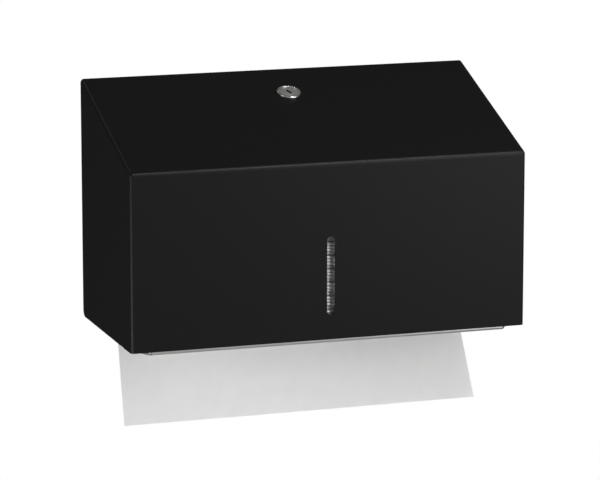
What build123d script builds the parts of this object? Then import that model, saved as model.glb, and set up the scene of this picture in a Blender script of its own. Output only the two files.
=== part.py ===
"""Wall-hung sheet-steel dispenser for folded paper towels.

Millimetres.  X runs across the front, -Y points away from the wall, +Z is up.
The origin is the centre of the four wall screws, on the wall.
"""

import math
import os

from build123d import *

os.makedirs("parts", exist_ok=True)

# ---------------------------------------------------------------- towels
towel_width = 250.0
fold_depth = 114.0
stack_height = 77.0         # the open lock swings clear over its front edge
stack_spare_width = 1.0     # the pack spreads this much past each end
stack_seat_gap = 0.3
fold_radius = 2.0
sheet_thickness = 0.5
sheet_hidden = 27.0         # inside the pack, above its underside
sheet_hang = 63.5           # below the tray's underside
sheet_lean = 18.0           # the free end hangs forward by this much
sheet_way = 0.6             # clear way round the sheet inside the pack
sheet_straight = 6.0        # straight length below the pack

# ---------------------------------------------------------------- room round the pack
stack_end_gap = 3.9         # to the back plate's side flanges
stack_front_gap = 1.8       # to the tray's lip
stack_rear_gap = 3.7        # to the tray's rear upstand

# ---------------------------------------------------------------- cover
front_height = 122.0        # lower edge to the front top bend
back_height = 168.0         # lower edge to the top of the slope, at the wall
cover_sheet = 1.0
cover_bend = 2.5            # outer radius of every bend
heel_radius = 5.0           # lower back corner of each side
cover_wall_gap = 0.8        # the cover's back edges stop this far from the wall

window_width = 5.5
window_length = 54.0
window_bottom = 17.3        # above the lower edge

# ---------------------------------------------------------------- wall screws
screw_spacing_x = 200.0
screw_spacing_z = 90.0
screw_hole = 5.5
screw_centre_height = 85.0  # above the cover's lower edge

# ---------------------------------------------------------------- back plate
plate_sheet = 1.2
plate_bend = 2.0            # outer radius
plate_foot_gap = 0.9        # tray floor to the plate's lower edge
plate_top_gap = 4.0         # under the slope, above the top flange
side_flange = 26.0
top_flange = 16.0
flange_taper_height = 118.0  # above the lower edge, where the flanges start to narrow

# ---------------------------------------------------------------- towel tray
tray_sheet = 0.9
tray_bend = 1.6             # outer radius
tray_drop = 2.8             # underside, below the cover's lower edge
tray_front_gap = 1.5        # behind the inner face of the front
tray_side_gap = 8.0         # beside the inner face of each side
tray_corner_across = 5.0    # front corners, cut across X
tray_corner_back = 8.0      # front corners, cut back along Y
lip_height = 14.0           # above the cover's lower edge
cheek_height = 37.0         # above the cover's lower edge, at the wall
cheek_rise_start = 62.0     # from the wall
cheek_rise_end = 34.0       # from the wall
rear_upstand = 10.0         # height of the flange welded to the back plate

slot_from_front = 80.0      # outer face of the front to the middle of the slot
slot_width = 22.0
slot_end_gap = 3.0          # past each end of the towel
notch_width = 38.0          # finger notch in the middle of the slot
notch_length = 84.0
notch_blend = 6.0
slot_edge_drop = 2.4        # turned-down edge, below the floor's underside

# ---------------------------------------------------------------- hinge
hinge_from_wall = 12.0
hinge_height = 7.0          # above the cover's lower edge
pin_radius = 3.0
pin_running_gap = 0.05
shoulder_radius = 5.0
shoulder_gap = 0.5          # end play between shoulder and bush
pin_tip_reach = 1.5         # past the inner end of the bush
pin_tip_chamfer = 0.6
bush_wall = 1.2
bush_flange_radius = 6.5
bush_flange = 1.2
press_gap = 0.02            # parts pressed into a hole

# ---------------------------------------------------------------- rivets
rivet_radius = 1.6
rivet_head_radius = 3.2
rivet_head = 1.1
rivet_head_bevel = 0.8
rivet_tail_radius = 2.4
rivet_tail = 1.2
cheek_rivet_from_wall = 18.0
cheek_rivet_below_top = 6.0  # upper rivet, below the top of the cheek
cheek_rivet_pitch = 11.0

# ---------------------------------------------------------------- rubber stops
stop_radius = 4.5
stop_seat_gap = 0.3         # closed cover to the stop's face
stop_x = 105.0

# ---------------------------------------------------------------- lock
lock_from_wall = 33.0       # axis, on the outer face of the slope
lock_head_radius = 8.5
lock_head = 1.2
lock_rim = 1.4              # width of the raised rim
lock_rim_bevel = 0.5
lock_face_recess = 0.3
lock_body_radius = 6.0
lock_body_flats = 10.5      # across the two flats
lock_body_length = 14.0
lock_hole_gap = 0.15
plug_radius = 4.5
plug_face_gap = 0.1
plug_face = 0.4
keyway_width = 2.0
keyway_length = 5.0
keyway_depth = 9.0
keyway_angle = 26.0         # away from the slope's fall line, clockwise from outside
lock_turn = 90.0

washer_radius = 8.5
washer_thickness = 0.8
washer_tooth_count = 12
washer_tooth_gap = 1.6
washer_tooth_depth = 0.8
nut_across_flats = 17.0
nut_thickness = 3.5
nut_hole_gap = 0.05

stop_washer_thickness = 1.0
stop_finger_arc = 24.0      # degrees
stop_finger_length = 1.2
stop_finger_inner = 4.9
stop_finger_outer = 5.8
stop_spare_angle = 4.0      # left over at each end of the turn
axial_gap = 0.1             # between lock parts that slide on each other

square = 5.5                # tail of the plug
square_gap = 0.05
cam_thickness = 1.6
cam_hub_radius = 8.0
cam_tip_reach = 17.0
cam_width = 10.0
cam_screw_radius = 2.0
cam_washer_radius = 5.0
cam_washer = 0.8
cam_screw_head_radius = 3.8
cam_screw_head = 2.4
cam_screw_head_bevel = 0.8
cam_screw_length = 8.0
screw_recess_length = 4.6
screw_recess_width = 1.0
screw_recess_depth = 1.1

# ---------------------------------------------------------------- keeper
keeper_sheet = 1.5
keeper_bend = 1.6           # radius at the middle of the sheet
keeper_width = 9.0
keeper_side_gap = 4.5       # cam hub to the keeper, across
keeper_tab_gap = 0.3        # locked cam to the tab
keeper_under_gap = 2.4      # cam screw plane to the keeper's arm
keeper_tab_rise = 8.0
keeper_drop_from_wall = 14.0
keeper_foot_back = 2.0      # back plate to the foot's rear edge
keeper_foot_width = 27.0
keeper_rivet_spacing = 17.0

# ================================================================ levels
lower_edge = -screw_centre_height
stack_half = towel_width / 2 + stack_spare_width
plate_inner = stack_half + stack_end_gap
cheek_inner = plate_inner + plate_sheet
tray_half = cheek_inner + tray_sheet
side_inner = tray_half + tray_side_gap
half_width = side_inner + cover_sheet
case_width = 2 * half_width
rear_room = plate_sheet + tray_sheet + stack_rear_gap
front_room = stack_front_gap + tray_sheet + tray_front_gap + cover_sheet
case_depth = rear_room + fold_depth + front_room
front_face = -case_depth
front_inner = front_face + cover_sheet
slope_rise = (back_height - front_height) / case_depth
slope_angle = math.degrees(math.atan(slope_rise))
slope_sin = math.sin(math.radians(slope_angle))
slope_cos = math.cos(math.radians(slope_angle))

tray_bottom = lower_edge - tray_drop
tray_floor = tray_bottom + tray_sheet
tray_front = front_inner + tray_front_gap
slot_y = front_face + slot_from_front
slot_length = towel_width + 2 * slot_end_gap
cheek_rivet_high = cheek_height - cheek_rivet_below_top
cheek_rivet_heights = (cheek_rivet_high - cheek_rivet_pitch, cheek_rivet_high)

plate_bottom = tray_floor + plate_foot_gap
plate_top = (lower_edge + back_height - top_flange * slope_rise
             - cover_sheet / slope_cos - plate_top_gap)

hinge_y = -hinge_from_wall
hinge_z = lower_edge + hinge_height
bush_radius = pin_radius + pin_running_gap + bush_wall
bush_inner_end = plate_inner - axial_gap

stack_bottom = tray_floor + stack_seat_gap
stack_front = tray_front + tray_sheet + stack_front_gap

lock_y = -lock_from_wall
lock_z = lower_edge + back_height - lock_from_wall * slope_rise
lock_plane = Plane(
    origin=(0, lock_y, lock_z),
    x_dir=(1, 0, 0),
    z_dir=(0, -slope_sin, slope_cos),
)

# Depths below the outer face of the slope, along the lock's axis.
nut_top = cover_sheet + washer_thickness
stop_washer_top = lock_body_length + axial_gap
cam_top = stop_washer_top + stop_washer_thickness
cam_bottom = cam_top + cam_thickness
screw_head_top = cam_bottom + cam_washer


def slope_line(y):
    """Height of the outer face of the slope at y."""
    return lower_edge + back_height + y * slope_rise


def cover_block(inset, reach):
    """The cover's outer form, drawn in by inset and carried on by reach below and behind."""
    half = half_width - inset
    front = front_face + inset
    back = -cover_wall_gap + reach
    bottom = lower_edge - reach
    lowered = inset / slope_cos
    with BuildPart() as block:
        with BuildSketch(Plane.YZ.offset(-half)):
            with BuildLine():
                Polyline(
                    (back, bottom),
                    (front, bottom),
                    (front, slope_line(front) - lowered),
                    (back, slope_line(back) - lowered),
                    close=True,
                )
            make_face()
        extrude(amount=2 * half)
        front_edges = block.faces().sort_by(Axis.Y)[0].edges().filter_by(Axis.Z)
        top_edges = block.faces().sort_by(Axis.Z)[-1].edges()
        rear_edge = top_edges.sort_by(Axis.Y)[-1]
        bends = front_edges + [edge for edge in top_edges if edge != rear_edge]
        fillet(bends, radius=cover_bend - inset)
    return block.part


def ring_sector(inner, outer, middle_angle, arc):
    """Sketch of part of a ring, arc degrees wide about middle_angle."""
    start = middle_angle - arc / 2
    with BuildSketch() as sector:
        with BuildLine():
            outer_arc = CenterArc((0, 0), outer, start, arc)
            inner_arc = CenterArc((0, 0), inner, start, arc)
            Line(outer_arc @ 0, inner_arc @ 0)
            Line(outer_arc @ 1, inner_arc @ 1)
        make_face()
    return sector.sketch


# ================================================================ cover
# One folded and welded shell: front, slope and two sides, open below and behind.
with BuildPart() as cover_shell:
    add(cover_block(0, 0))
    add(cover_block(cover_sheet, cover_sheet * 4), mode=Mode.SUBTRACT)
    heel_edges = (
        cover_shell.edges()
        .filter_by(Axis.X)
        .filter_by(lambda edge: edge.length < 2 * cover_sheet)
        .group_by(Axis.Z)[0]
        .group_by(Axis.Y)[-1]
    )
    fillet(heel_edges, radius=heel_radius)
    window_middle = lower_edge + window_bottom + window_length / 2
    with BuildSketch(Plane.XZ.offset(-front_face)):
        with Locations((0, window_middle)):
            SlotOverall(window_length, window_width, rotation=90)
    extrude(amount=-2 * cover_sheet, mode=Mode.SUBTRACT)
    with BuildSketch(lock_plane):
        Circle(lock_body_radius + lock_hole_gap)
        Rectangle(
            4 * lock_body_radius,
            lock_body_flats + 2 * lock_hole_gap,
            mode=Mode.INTERSECT,
        )
    extrude(amount=-2 * cover_sheet, mode=Mode.SUBTRACT)
cover_shell.part.label = "cover_shell"
export_step(cover_shell.part, "parts/cover_shell.step")


# ================================================================ hinge
# Each pin is a shouldered stud, welded to the inside of a side of the cover.
for side, name in ((-1, "hinge_pin_left"), (1, "hinge_pin_right")):
    seat = Plane(
        origin=(side * side_inner, hinge_y, hinge_z),
        x_dir=(0, 1, 0),
        z_dir=(-side, 0, 0),
    )
    shoulder_length = tray_side_gap - bush_flange - shoulder_gap
    pin_length = side_inner - bush_inner_end + pin_tip_reach
    with BuildPart() as hinge_pin:
        with BuildSketch(seat):
            Circle(shoulder_radius)
        extrude(amount=shoulder_length)
        with BuildSketch(seat):
            Circle(pin_radius)
        extrude(amount=pin_length)
        tip_edges = hinge_pin.edges().filter_by(GeomType.CIRCLE).sort_by(Axis.X)
        chamfer(tip_edges[0 if side > 0 else -1], length=pin_tip_chamfer)
    hinge_pin.part.label = name
    export_step(hinge_pin.part, f"parts/{name}.step")

# Flanged nylon bushes, pressed through the cheek and the back plate's flange.
for side, name in ((-1, "hinge_bush_left"), (1, "hinge_bush_right")):
    seat = Plane(
        origin=(side * tray_half, hinge_y, hinge_z),
        x_dir=(0, 1, 0),
        z_dir=(side, 0, 0),
    )
    with BuildPart() as hinge_bush:
        with BuildSketch(seat):
            Circle(bush_flange_radius)
        extrude(amount=bush_flange)
        with BuildSketch(seat):
            Circle(bush_radius)
        extrude(amount=-(tray_half - bush_inner_end))
        with BuildSketch(seat.offset(bush_flange)):
            Circle(pin_radius + pin_running_gap)
        extrude(amount=-(tray_half - bush_inner_end + bush_flange), mode=Mode.SUBTRACT)
    hinge_bush.part.label = name
    export_step(hinge_bush.part, f"parts/{name}.step")


# ================================================================ back plate
# A shallow pressed pan, flat on the wall: side flanges carry the hinge and the
# tray's cheeks, and the top flange carries the lock's keeper.
plate_height = plate_top - plate_bottom
plate_half = cheek_inner
with BuildPart() as back_plate:
    with BuildSketch(Plane.XY.offset(plate_bottom)):
        with Locations((0, -side_flange / 2)):
            Rectangle(2 * plate_half, side_flange)
    extrude(amount=plate_height)
    rear_face = back_plate.faces().sort_by(Axis.Y)[-1]
    top_face = back_plate.faces().sort_by(Axis.Z)[-1]
    bends = rear_face.edges().filter_by(Axis.Z) + top_face.edges().filter_by(Axis.Y)
    bends += [rear_face.edges().sort_by(Axis.Z)[-1]]
    fillet(bends, radius=plate_bend)
    front_side = back_plate.faces().sort_by(Axis.Y)[0]
    underside = back_plate.faces().sort_by(Axis.Z)[0]
    offset(amount=-plate_sheet, openings=[front_side, underside])
    taper_start = lower_edge + flange_taper_height
    with BuildSketch(Plane.YZ.offset(-plate_half)):
        with BuildLine():
            Polyline(
                (-top_flange, plate_top + plate_sheet),
                (-top_flange, plate_top - plate_bend),
                (-side_flange, taper_start),
                (-2 * side_flange, taper_start),
                (-2 * side_flange, plate_top + plate_sheet),
                close=True,
            )
        make_face()
    extrude(amount=2 * plate_half, mode=Mode.SUBTRACT)
    with BuildSketch(Plane.XZ):
        with GridLocations(screw_spacing_x, screw_spacing_z, 2, 2):
            Circle(screw_hole / 2)
    extrude(amount=plate_sheet, mode=Mode.SUBTRACT)
    with BuildSketch(Plane.YZ.offset(-plate_half)):
        with Locations((hinge_y, hinge_z)):
            Circle(bush_radius + press_gap)
        for height in cheek_rivet_heights:
            with Locations((-cheek_rivet_from_wall, lower_edge + height)):
                Circle(rivet_radius + press_gap)
    extrude(amount=2 * plate_half, mode=Mode.SUBTRACT)
    keeper_inner = cam_hub_radius + keeper_side_gap
    keeper_middle = keeper_inner + keeper_width / 2
    keeper_rivet_y = -(plate_sheet + keeper_foot_back + keeper_drop_from_wall) / 2
    with BuildSketch(Plane.XY.offset(plate_top)):
        with Locations((keeper_middle, keeper_rivet_y)):
            with GridLocations(keeper_rivet_spacing, 0, 2, 1):
                Circle(rivet_radius + press_gap)
    extrude(amount=-plate_sheet, mode=Mode.SUBTRACT)
back_plate.part.label = "back_plate"
export_step(back_plate.part, "parts/back_plate.step")


# ================================================================ towel tray
# A folded stainless pan: bare lip in front, low cheeks that rise towards the
# wall, and a full-width exit slot with a finger notch and a turned-down edge.
with BuildSketch(Plane.XY.offset(tray_floor)) as exit_slot:
    with Locations((0, slot_y)):
        SlotOverall(slot_length, slot_width)
        SlotOverall(notch_length, notch_width)
    inner_corners = exit_slot.vertices().filter_by(
        lambda corner: abs(abs(corner.Y - slot_y) - slot_width / 2) < 0.01
        and abs(corner.X) < notch_length / 2
    )
    fillet(inner_corners, radius=notch_blend)

with BuildPart() as towel_tray:
    lip_half = tray_half - tray_corner_across
    corner_y = tray_front + tray_corner_back
    with BuildSketch(Plane.XY.offset(tray_bottom)):
        with BuildLine():
            Polyline(
                (-tray_half, -cover_wall_gap),
                (-tray_half, corner_y),
                (-lip_half, tray_front),
                (lip_half, tray_front),
                (tray_half, corner_y),
                (tray_half, -cover_wall_gap),
                close=True,
            )
        make_face()
    extrude(amount=tray_drop + cheek_height)
    upright = towel_tray.edges().filter_by(Axis.Z).filter_by(
        lambda edge: edge.center().Y < -2 * cover_wall_gap
    )
    fillet(upright, radius=tray_bend)
    floor_edges = towel_tray.faces().sort_by(Axis.Z)[0].edges().filter_by(
        lambda edge: edge.center().Y < -2 * cover_wall_gap
    )
    fillet(floor_edges, radius=tray_bend)
    open_top = towel_tray.faces().sort_by(Axis.Z)[-1]
    open_back = towel_tray.faces().sort_by(Axis.Y)[-1]
    offset(amount=-tray_sheet, openings=[open_top, open_back])
    lip_top = lower_edge + lip_height
    cheek_top = lower_edge + cheek_height
    with BuildSketch(Plane.YZ.offset(-half_width)):
        with BuildLine():
            Polyline(
                (front_face, lip_top),
                (-cheek_rise_start, lip_top),
                (-cheek_rise_end, cheek_top),
                (-cheek_rise_end, cheek_top + tray_sheet),
                (front_face, cheek_top + tray_sheet),
                close=True,
            )
        make_face()
    extrude(amount=case_width, mode=Mode.SUBTRACT)
    upstand_y = -plate_sheet
    with BuildSketch(Plane.XY.offset(tray_bottom)):
        with Locations((0, upstand_y - tray_sheet / 2)):
            Rectangle(2 * (plate_inner - plate_bend), tray_sheet)
    extrude(amount=tray_drop + rear_upstand)
    with BuildSketch(Plane.XY.offset(tray_floor)):
        add(exit_slot.sketch)
        offset(amount=tray_sheet)
    extrude(amount=-(tray_sheet + slot_edge_drop))
    with BuildSketch(Plane.XY.offset(tray_floor)):
        add(exit_slot.sketch)
    extrude(amount=-(tray_sheet + slot_edge_drop), mode=Mode.SUBTRACT)
    with BuildSketch(Plane.YZ.offset(-half_width)):
        with Locations((hinge_y, hinge_z)):
            Circle(bush_radius + press_gap)
        for height in cheek_rivet_heights:
            with Locations((-cheek_rivet_from_wall, lower_edge + height)):
                Circle(rivet_radius + press_gap)
    extrude(amount=case_width, mode=Mode.SUBTRACT)
towel_tray.part.label = "towel_tray"
export_step(towel_tray.part, "parts/towel_tray.step")


def flat_rivet(seat, grip):
    """Rivet with its bevelled head on seat and its set tail grip further down."""
    with BuildPart() as rivet:
        with BuildSketch(seat):
            Circle(rivet_head_radius)
        extrude(amount=rivet_head)
        head_edge = rivet.edges().sort_by(lambda edge: -edge.center().dot(seat.z_dir))[0]
        chamfer(head_edge, length=rivet_head_bevel)
        with BuildSketch(seat):
            Circle(rivet_radius)
        extrude(amount=-grip)
        with BuildSketch(seat.offset(-grip)):
            Circle(rivet_tail_radius)
        extrude(amount=-rivet_tail)
    return rivet.part


# Two rivets through each cheek hold the tray to the back plate's flanges.
with BuildPart() as tray_rivets:
    for side in (-1, 1):
        for height in cheek_rivet_heights:
            seat = Plane(
                origin=(side * tray_half, -cheek_rivet_from_wall, lower_edge + height),
                x_dir=(0, 1, 0),
                z_dir=(side, 0, 0),
            )
            add(flat_rivet(seat, tray_sheet + plate_sheet))
tray_rivets.part.label = "tray_rivets"
export_step(tray_rivets.part, "parts/tray_rivets.step")

# Rubber stops on the tray's lip, for the closed front to rest against.
with BuildPart() as cover_stops:
    with BuildSketch(Plane.XZ.offset(-tray_front)):
        with Locations((-stop_x, hinge_z), (stop_x, hinge_z)):
            Circle(stop_radius)
    extrude(amount=tray_front_gap - stop_seat_gap)
cover_stops.part.label = "cover_stops"
export_step(cover_stops.part, "parts/cover_stops.step")


# ================================================================ lock
# Cam lock through the slope.  Its housing has two flats, a raised bright rim
# and, at its inner end, a quarter-turn notch for the stop washer's finger.
notch_arc = lock_turn + stop_finger_arc + 2 * stop_spare_angle
finger_rest_angle = 135.0
notch_middle = finger_rest_angle - lock_turn / 2
with BuildPart() as lock_housing:
    with BuildSketch(lock_plane):
        Circle(lock_head_radius)
    extrude(amount=lock_head)
    rim_edge = lock_housing.faces().sort_by(
        lambda face: -face.center().dot(lock_plane.z_dir)
    )[0].edges()[0]
    chamfer(rim_edge, length=lock_rim_bevel)
    with BuildSketch(lock_plane):
        Circle(lock_body_radius)
        Rectangle(4 * lock_body_radius, lock_body_flats, mode=Mode.INTERSECT)
    extrude(amount=-lock_body_length)
    with BuildSketch(lock_plane.offset(lock_head)):
        Circle(lock_head_radius - lock_rim)
    extrude(amount=-(lock_face_recess + plug_face + axial_gap), mode=Mode.SUBTRACT)
    with BuildSketch(lock_plane.offset(lock_head)):
        Circle(plug_radius + pin_running_gap)
    extrude(amount=-(lock_head + lock_body_length), mode=Mode.SUBTRACT)
    with BuildSketch(lock_plane.offset(-lock_body_length)):
        add(ring_sector(plug_radius, 2 * lock_body_radius, notch_middle, notch_arc))
    extrude(amount=stop_finger_length + axial_gap, mode=Mode.SUBTRACT)
lock_housing.part.label = "lock_housing"
export_step(lock_housing.part, "parts/lock_housing.step")

# Toothed washer between the slope's inner face and the nut.
with BuildPart() as lock_washer:
    with BuildSketch(lock_plane.offset(-cover_sheet)):
        Circle(washer_radius)
        with PolarLocations(washer_radius, washer_tooth_count):
            Rectangle(2 * washer_tooth_depth, washer_tooth_gap, mode=Mode.SUBTRACT)
        Circle(lock_body_radius + lock_hole_gap, mode=Mode.SUBTRACT)
    extrude(amount=-washer_thickness)
lock_washer.part.label = "lock_washer"
export_step(lock_washer.part, "parts/lock_washer.step")

with BuildPart() as lock_nut:
    with BuildSketch(lock_plane.offset(-nut_top)):
        RegularPolygon(nut_across_flats / 2, 6, major_radius=False)
        Circle(lock_body_radius + nut_hole_gap, mode=Mode.SUBTRACT)
    extrude(amount=-nut_thickness)
lock_nut.part.label = "lock_nut"
export_step(lock_nut.part, "parts/lock_nut.step")

# Plug with its key slot, turning in the housing, with a square tail for the cam.
plug_face_bottom = lock_head - lock_face_recess - plug_face
plug_face_plane = lock_plane.offset(plug_face_bottom)
tail_end = cam_bottom - axial_gap
with BuildPart() as lock_plug:
    with BuildSketch(plug_face_plane):
        Circle(lock_head_radius - lock_rim - plug_face_gap)
    extrude(amount=plug_face)
    with BuildSketch(plug_face_plane):
        Circle(plug_radius)
    extrude(amount=-(plug_face_bottom + lock_body_length))
    with BuildSketch(lock_plane.offset(-lock_body_length)):
        Rectangle(square, square)
    extrude(amount=-(tail_end - lock_body_length))
    with BuildSketch(plug_face_plane.offset(plug_face)):
        Rectangle(keyway_width, keyway_length, rotation=keyway_angle)
    extrude(amount=-keyway_depth, mode=Mode.SUBTRACT)
    with BuildSketch(lock_plane.offset(-tail_end)):
        Circle(cam_screw_radius + nut_hole_gap)
    screw_hole_depth = cam_screw_length - (cam_washer + cam_bottom - tail_end)
    extrude(amount=screw_hole_depth + axial_gap, mode=Mode.SUBTRACT)
lock_plug.part.label = "lock_plug"
export_step(lock_plug.part, "parts/lock_plug.step")

# Washer on the plug's square; its finger meets the ends of the housing's notch.
with BuildPart() as lock_stop_washer:
    with BuildSketch(lock_plane.offset(-stop_washer_top)):
        Circle(stop_finger_outer)
        Rectangle(square + 2 * square_gap, square + 2 * square_gap, mode=Mode.SUBTRACT)
    extrude(amount=-stop_washer_thickness)
    with BuildSketch(lock_plane.offset(-stop_washer_top)):
        add(ring_sector(
            stop_finger_inner, stop_finger_outer, finger_rest_angle, stop_finger_arc))
    extrude(amount=stop_finger_length)
lock_stop_washer.part.label = "lock_stop_washer"
export_step(lock_stop_washer.part, "parts/lock_stop_washer.step")

# Flat cam: a round hub that runs out into a tongue.  It points at the wall when
# open, and a quarter turn clockwise brings the tongue behind the keeper's tab.
with BuildPart() as lock_cam:
    with BuildSketch(lock_plane.offset(-cam_top)):
        Circle(cam_hub_radius)
        tongue_length = cam_tip_reach - cam_width / 2
        with Locations((0, tongue_length / 2)):
            Rectangle(cam_width, tongue_length)
        with Locations((0, tongue_length)):
            Circle(cam_width / 2)
        Rectangle(square + 2 * square_gap, square + 2 * square_gap, mode=Mode.SUBTRACT)
    extrude(amount=-cam_thickness)
lock_cam.part.label = "lock_cam"
export_step(lock_cam.part, "parts/lock_cam.step")

with BuildPart() as cam_washer_ring:
    with BuildSketch(lock_plane.offset(-cam_bottom)):
        Circle(cam_washer_radius)
        Circle(cam_screw_radius + nut_hole_gap, mode=Mode.SUBTRACT)
    extrude(amount=-cam_washer)
cam_washer_ring.part.label = "cam_washer"
export_step(cam_washer_ring.part, "parts/cam_washer.step")

with BuildPart() as cam_screw:
    with BuildSketch(lock_plane.offset(-screw_head_top)):
        Circle(cam_screw_head_radius)
    extrude(amount=-cam_screw_head)
    head_edge = cam_screw.faces().sort_by(
        lambda face: face.center().dot(lock_plane.z_dir)
    )[0].edges()[0]
    chamfer(head_edge, length=cam_screw_head_bevel)
    with BuildSketch(lock_plane.offset(-screw_head_top)):
        Circle(cam_screw_radius)
    extrude(amount=cam_screw_length)
    with BuildSketch(lock_plane.offset(-(screw_head_top + cam_screw_head))):
        Rectangle(screw_recess_length, screw_recess_width)
        Rectangle(screw_recess_width, screw_recess_length)
    extrude(amount=screw_recess_depth, mode=Mode.SUBTRACT)
cam_screw.part.label = "cam_screw"
export_step(cam_screw.part, "parts/cam_screw.step")


# ================================================================ keeper
# Bent steel strip under the top flange.  Its arm passes below the cam, and its
# tab stands up in front of the locked tongue.
def lock_point(up_slope, depth):
    """(y, z) of a point up_slope from the lock's axis and depth below the slope."""
    return (
        lock_y + up_slope * slope_cos + depth * slope_sin,
        lock_z + up_slope * slope_sin - depth * slope_cos,
    )


foot_middle_z = plate_top - plate_sheet - keeper_sheet / 2
foot_rear_y = -(plate_sheet + keeper_foot_back)
drop_y = -keeper_drop_from_wall
tab_up_slope = -(cam_width / 2 + keeper_tab_gap + keeper_sheet / 2)
arm_depth = cam_bottom + keeper_under_gap + keeper_sheet / 2
drop_up_slope = (drop_y - lock_y - arm_depth * slope_sin) / slope_cos
with BuildPart() as lock_keeper:
    with BuildSketch(Plane.YZ.offset(keeper_inner)):
        with BuildLine():
            FilletPolyline(
                (foot_rear_y, foot_middle_z),
                (drop_y, foot_middle_z),
                lock_point(drop_up_slope, arm_depth),
                lock_point(tab_up_slope, arm_depth),
                lock_point(tab_up_slope, arm_depth - keeper_tab_rise),
                radius=keeper_bend,
            )
        trace(line_width=keeper_sheet)
    extrude(amount=keeper_width)
    foot_length = abs(drop_y - foot_rear_y) - keeper_bend
    with BuildSketch(Plane.XY.offset(foot_middle_z - keeper_sheet / 2)):
        with Locations((keeper_middle, foot_rear_y - foot_length / 2)):
            RectangleRounded(keeper_foot_width, foot_length, keeper_bend)
    extrude(amount=keeper_sheet)
    with BuildSketch(Plane.XY.offset(plate_top)):
        with Locations((keeper_middle, keeper_rivet_y)):
            with GridLocations(keeper_rivet_spacing, 0, 2, 1):
                Circle(rivet_radius + press_gap)
    extrude(amount=-(plate_sheet + 2 * keeper_sheet), mode=Mode.SUBTRACT)
lock_keeper.part.label = "lock_keeper"
export_step(lock_keeper.part, "parts/lock_keeper.step")

with BuildPart() as keeper_rivets:
    for offset_x in (-keeper_rivet_spacing / 2, keeper_rivet_spacing / 2):
        seat = Plane(origin=(keeper_middle + offset_x, keeper_rivet_y, plate_top))
        add(flat_rivet(seat, plate_sheet + keeper_sheet))
keeper_rivets.part.label = "keeper_rivets"
export_step(keeper_rivets.part, "parts/keeper_rivets.step")


# ================================================================ towels
# The pack stands on the tray, with a clear way for the sheet being drawn.
with BuildPart() as towel_stack:
    with BuildSketch(Plane.XY.offset(stack_bottom)):
        with Locations((0, stack_front + fold_depth / 2)):
            Rectangle(2 * stack_half, fold_depth)
    extrude(amount=stack_height)
    fold_edges = towel_stack.edges().filter_by(Axis.X)
    fillet(fold_edges, radius=fold_radius)
    way_width = towel_width + 2 * sheet_way
    way_depth = sheet_thickness + 2 * sheet_way
    with BuildSketch(Plane.XY.offset(stack_bottom)):
        with Locations((0, slot_y)):
            Rectangle(way_width, way_depth)
    extrude(amount=sheet_hidden + sheet_way, mode=Mode.SUBTRACT)
towel_stack.part.label = "towel_stack"
export_step(towel_stack.part, "parts/towel_stack.step")

# The sheet being drawn: straight through the slot, then leaning forward.
sheet_top = stack_bottom + sheet_hidden
sheet_turn = stack_bottom - sheet_straight
sheet_tip = tray_bottom - sheet_hang
with BuildPart() as hanging_towel:
    with BuildSketch(Plane.YZ.offset(-towel_width / 2)):
        with BuildLine():
            straight = Line((slot_y, sheet_top), (slot_y, sheet_turn))
            TangentArc(straight @ 1, (slot_y - sheet_lean, sheet_tip), tangent=straight % 1)
        trace(line_width=sheet_thickness)
    extrude(amount=towel_width)
hanging_towel.part.label = "hanging_towel"
export_step(hanging_towel.part, "parts/hanging_towel.step")
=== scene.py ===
import math
import random

import bpy
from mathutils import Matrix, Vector


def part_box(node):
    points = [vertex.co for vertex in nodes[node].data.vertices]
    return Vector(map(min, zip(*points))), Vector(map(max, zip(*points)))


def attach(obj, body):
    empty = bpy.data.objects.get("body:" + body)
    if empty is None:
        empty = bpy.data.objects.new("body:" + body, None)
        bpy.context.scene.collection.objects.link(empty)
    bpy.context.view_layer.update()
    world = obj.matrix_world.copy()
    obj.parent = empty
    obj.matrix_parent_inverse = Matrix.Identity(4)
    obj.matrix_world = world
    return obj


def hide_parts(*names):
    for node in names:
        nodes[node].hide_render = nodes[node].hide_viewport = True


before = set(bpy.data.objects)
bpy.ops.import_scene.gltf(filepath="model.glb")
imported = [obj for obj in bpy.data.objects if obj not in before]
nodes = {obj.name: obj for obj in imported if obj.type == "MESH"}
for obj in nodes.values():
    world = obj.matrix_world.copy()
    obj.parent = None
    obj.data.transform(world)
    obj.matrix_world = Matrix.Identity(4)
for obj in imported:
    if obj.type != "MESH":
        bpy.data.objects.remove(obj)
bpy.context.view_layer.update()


# ---------------------------------------------------------------- camera
# A long lens on a stand to the left of the dispenser and a little above it.
# It looks at the middle of the case.
camera_left = math.radians(18.319)
camera_up = math.radians(11.417)
camera_distance = 2.4343
look_at = Vector((-0.0007, -0.060, -0.0285))
to_camera = Vector((
    -math.sin(camera_left) * math.cos(camera_up),
    -math.cos(camera_left) * math.cos(camera_up),
    math.sin(camera_up),
))
bpy.ops.object.select_all(action="DESELECT")
bpy.ops.object.camera_add(location=look_at + camera_distance * to_camera)
camera = bpy.context.object
camera.rotation_euler = (-to_camera).to_track_quat("-Z", "Y").to_euler()
camera.data.sensor_width = 36.0
camera.data.lens = 210.47
bpy.context.scene.camera = camera
bpy.context.scene.view_settings.view_transform = "Standard"


# ---------------------------------------------------------------- floor, lamps and surround
# A pale floor well below the case, soft lamps, and a plain white surround.
# What gloss sees of the surround is dim behind the case and brighter in front of it.
def linear(hex_colour):
    """sRGB hex colour as linear red, green, blue and alpha."""
    channels = []
    for start in (1, 3, 5):
        value = int(hex_colour[start:start + 2], 16) / 255
        channels.append(value / 12.92 if value <= 0.04045 else ((value + 0.055) / 1.055) ** 2.4)
    return (*channels, 1.0)


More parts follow.
